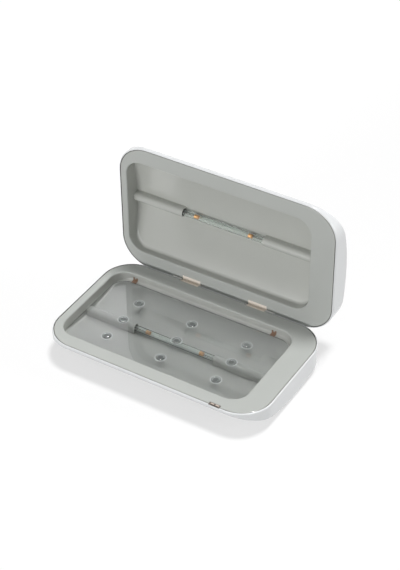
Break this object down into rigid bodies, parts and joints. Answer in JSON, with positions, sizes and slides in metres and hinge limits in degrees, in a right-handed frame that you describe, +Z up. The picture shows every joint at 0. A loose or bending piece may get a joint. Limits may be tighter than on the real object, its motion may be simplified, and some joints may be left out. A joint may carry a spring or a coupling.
{
  "type": "ultraviolet phone sanitizer box",
  "caption": "Flat clamshell box with curved white shells and grey liners; a thin lamp crosses each cavity and a phone lies on a clear bumped plate; lid stands open on rear hinges",
  "frame": {"origin": "middle of the open box's footprint rectangle, on the surface that its rubber feet stand on", "axes": "+Z up; +X along the hinge, to the right as seen from the front; +Y from the front edge towards the hinge and the standing lid"},
  "size_m": [0.183, 0.132, 0.1266],
  "materials": {
    "gloss_white": "glossy injection-moulded shell",
    "liner_grey": "satin silver-grey moulding",
    "quartz_glass": "clear quartz tube, faint green",
    "electrode_metal": "nickel cup with dull coating",
    "black_rubber": "moulded rubber",
    "clear_acrylic": "clear polished sheet",
    "clear_silicone": "clear soft dome",
    "copper_strip": "rolled copper alloy strip",
    "screw_steel": "plated steel",
    "hinge_white": "moulded hinge block",
    "circuit_board": "green solder mask",
    "ferrite": "pressed ferrite with winding",
    "capacitor_sleeve": "shrink sleeve",
    "black_moulding": "black moulding",
    "wire_sleeve": "soft wire insulation",
    "switch_brown": "brown moulding",
    "cream_plastic": "cream moulding",
    "lens_clear": "clear light guide"
  },
  "bodies": {
    "base": {"base_outer_shell": "gloss_white", "base_liner": "liner_grey", "base_lamp_tube": "quartz_glass", "base_lamp_electrodes": "electrode_metal", "base_lamp_end_caps": "black_rubber", "clear_plate": "clear_acrylic", "plate_bumps": "clear_silicone", "plate_clips": "copper_strip", "rubber_feet": "black_rubber", "base_screws": "screw_steel", "base_hinge_knuckles": "hinge_white", "hinge_pins": "screw_steel", "control_board": "circuit_board", "ballast_transformers": "ferrite", "ballast_capacitors": "capacitor_sleeve", "board_chips": "black_moulding", "board_screws": "screw_steel", "dc_power_jack": "black_moulding", "usb_charging_socket": "screw_steel", "base_wire_harness": "wire_sleeve", "switch_bezel": "switch_brown", "switch_leaf_spring": "copper_strip", "switch_body": "black_moulding"},
    "lid": {"lid_outer_shell": "gloss_white", "lid_liner": "liner_grey", "lid_lamp_tube": "quartz_glass", "lid_lamp_electrodes": "electrode_metal", "lid_lamp_end_caps": "black_rubber", "lid_hinge_tabs": "cream_plastic", "lid_wire_harness": "wire_sleeve", "status_light_lens": "lens_clear", "status_light_board": "circuit_board"},
    "button": {"switch_plunger": "copper_strip"}
  },
  "joints": [
    {"name": "lid_hinge", "type": "hinge", "parent": "base", "child": "lid", "pos_m": [0, 0.04263, 0.0179], "axis": [1, 0, 0], "range_deg": [0, 90]},
    {"name": "switch_press", "type": "slide", "parent": "base", "child": "button", "axis": [0, 0, -1], "range_m": [0, 0.0005], "stiffness_N_per_m": 400, "springref_m": -0.0003, "deforming": ["switch_leaf_spring"]}
  ]
}
